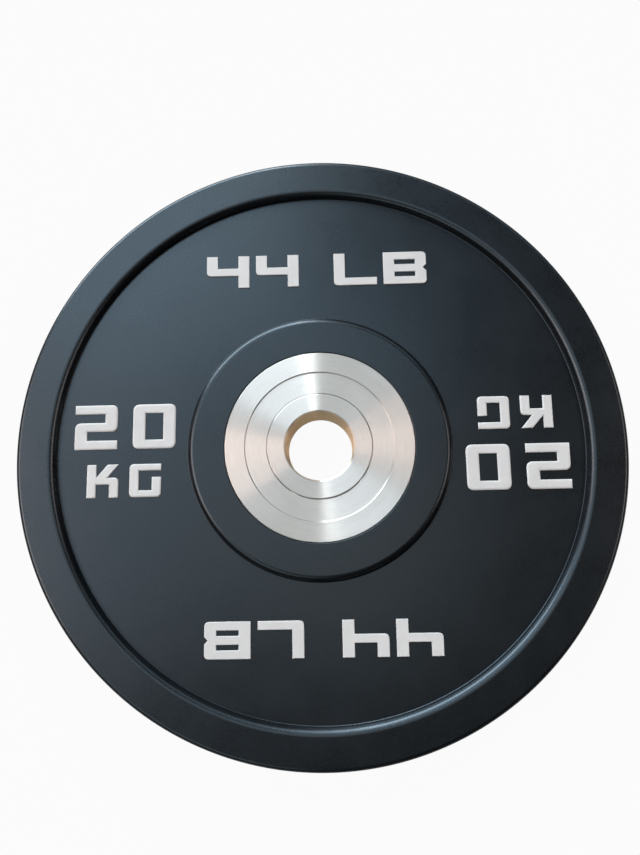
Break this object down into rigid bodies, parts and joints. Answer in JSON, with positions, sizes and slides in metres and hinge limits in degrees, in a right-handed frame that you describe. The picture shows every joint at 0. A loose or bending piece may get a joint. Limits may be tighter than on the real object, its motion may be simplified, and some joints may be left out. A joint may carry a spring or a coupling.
{
  "type": "bumper plate",
  "caption": "Round rubber barbell weight plate with a raised rim, sunk web and raised boss round a turned steel hub, bored for a bar sleeve.",
  "frame": {"origin": "under the centre of the bore, in the plane of the rear rim face that the plate lies on", "axes": "+Z along the bore towards the front face; +Y towards the upper marks of the front face; +X to the right of them"},
  "size_m": [0.45, 0.45, 0.042],
  "materials": {
    "rubber_black": "satin",
    "turned_steel": "polished",
    "core_steel": "matte",
    "mark_white": "satin"
  },
  "bodies": {
    "root": {"rubber_disc": "rubber_black", "steel_core": "core_steel", "hub_sleeve": "turned_steel", "front_hub_disc": "turned_steel", "rear_hub_disc": "turned_steel", "front_left_digit_2": "mark_white", "front_left_digit_0": "mark_white", "front_left_letter_K": "mark_white", "front_left_letter_G": "mark_white", "front_right_digit_2": "mark_white", "front_right_digit_0": "mark_white", "front_right_letter_K": "mark_white", "front_right_letter_G": "mark_white", "front_upper_digit_4_first": "mark_white", "front_upper_digit_4_second": "mark_white", "front_upper_letter_L": "mark_white", "front_upper_letter_B": "mark_white", "front_lower_digit_4_first": "mark_white", "front_lower_digit_4_second": "mark_white", "front_lower_letter_L": "mark_white", "front_lower_letter_B": "mark_white", "rear_left_digit_2": "mark_white", "rear_left_digit_0": "mark_white", "rear_left_letter_K": "mark_white", "rear_left_letter_G": "mark_white", "rear_right_digit_2": "mark_white", "rear_right_digit_0": "mark_white", "rear_right_letter_K": "mark_white", "rear_right_letter_G": "mark_white", "rear_upper_digit_4_first": "mark_white", "rear_upper_digit_4_second": "mark_white", "rear_upper_letter_L": "mark_white", "rear_upper_letter_B": "mark_white", "rear_lower_digit_4_first": "mark_white", "rear_lower_digit_4_second": "mark_white", "rear_lower_letter_L": "mark_white", "rear_lower_letter_B": "mark_white"}
  },
  "joints": []
}
